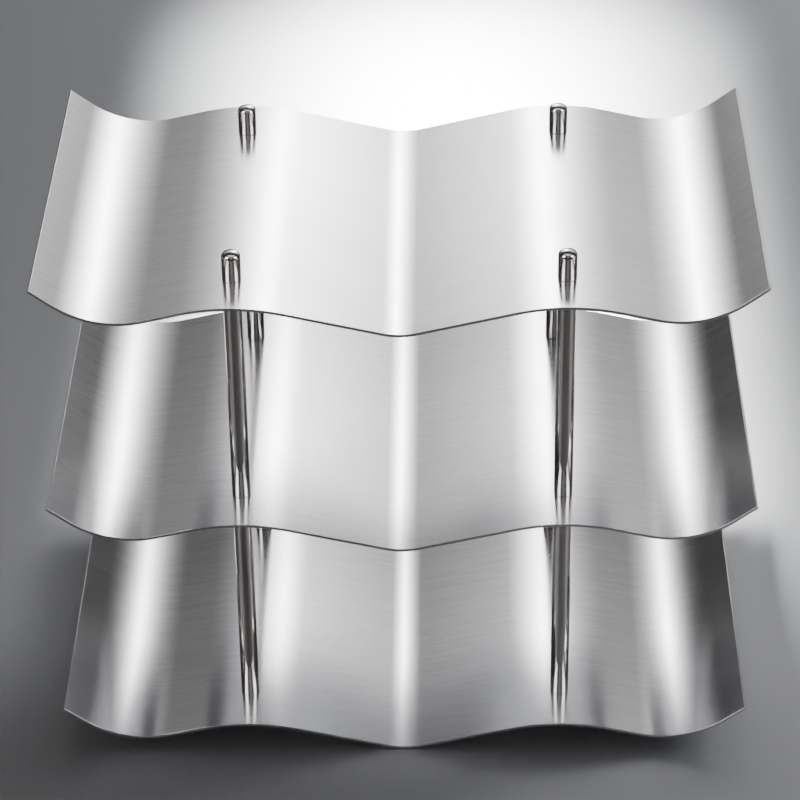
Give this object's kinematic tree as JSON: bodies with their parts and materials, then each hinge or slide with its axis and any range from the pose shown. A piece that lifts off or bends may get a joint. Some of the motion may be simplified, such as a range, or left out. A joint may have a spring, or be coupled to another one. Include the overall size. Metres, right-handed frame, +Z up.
{
  "type": "wine rack",
  "caption": "Tabletop wine rack of waved brushed-steel shelves held one above another on slim polished screwed posts, with troughs in which bottles lie front to back.",
  "frame": {"origin": "on the table, under the middle of the rack", "axes": "+X across the rack to the right as seen from the front, +Y from the front edge to the back edge, +Z up"},
  "size_m": [0.281, 0.165, 0.2257],
  "materials": {
    "shelf_steel": "stainless sheet with a fine satin brushing that runs across the rack",
    "post_steel": "mirror-polished stainless bar",
    "stud_steel": "plain threaded stainless steel"
  },
  "bodies": {
    "root": {"shelf_bottom": "shelf_steel", "shelf_middle": "shelf_steel", "shelf_top": "shelf_steel", "foot_front_left": "post_steel", "foot_front_right": "post_steel", "foot_rear_left": "post_steel", "foot_rear_right": "post_steel", "post_lower_front_left": "post_steel", "post_lower_front_right": "post_steel", "post_lower_rear_left": "post_steel", "post_lower_rear_right": "post_steel", "post_upper_front_left": "post_steel", "post_upper_front_right": "post_steel", "post_upper_rear_left": "post_steel", "post_upper_rear_right": "post_steel", "cap_front_left": "post_steel", "cap_front_right": "post_steel", "cap_rear_left": "post_steel", "cap_rear_right": "post_steel", "studs_bottom": "stud_steel", "studs_middle": "stud_steel", "studs_top": "stud_steel"}
  },
  "joints": []
}
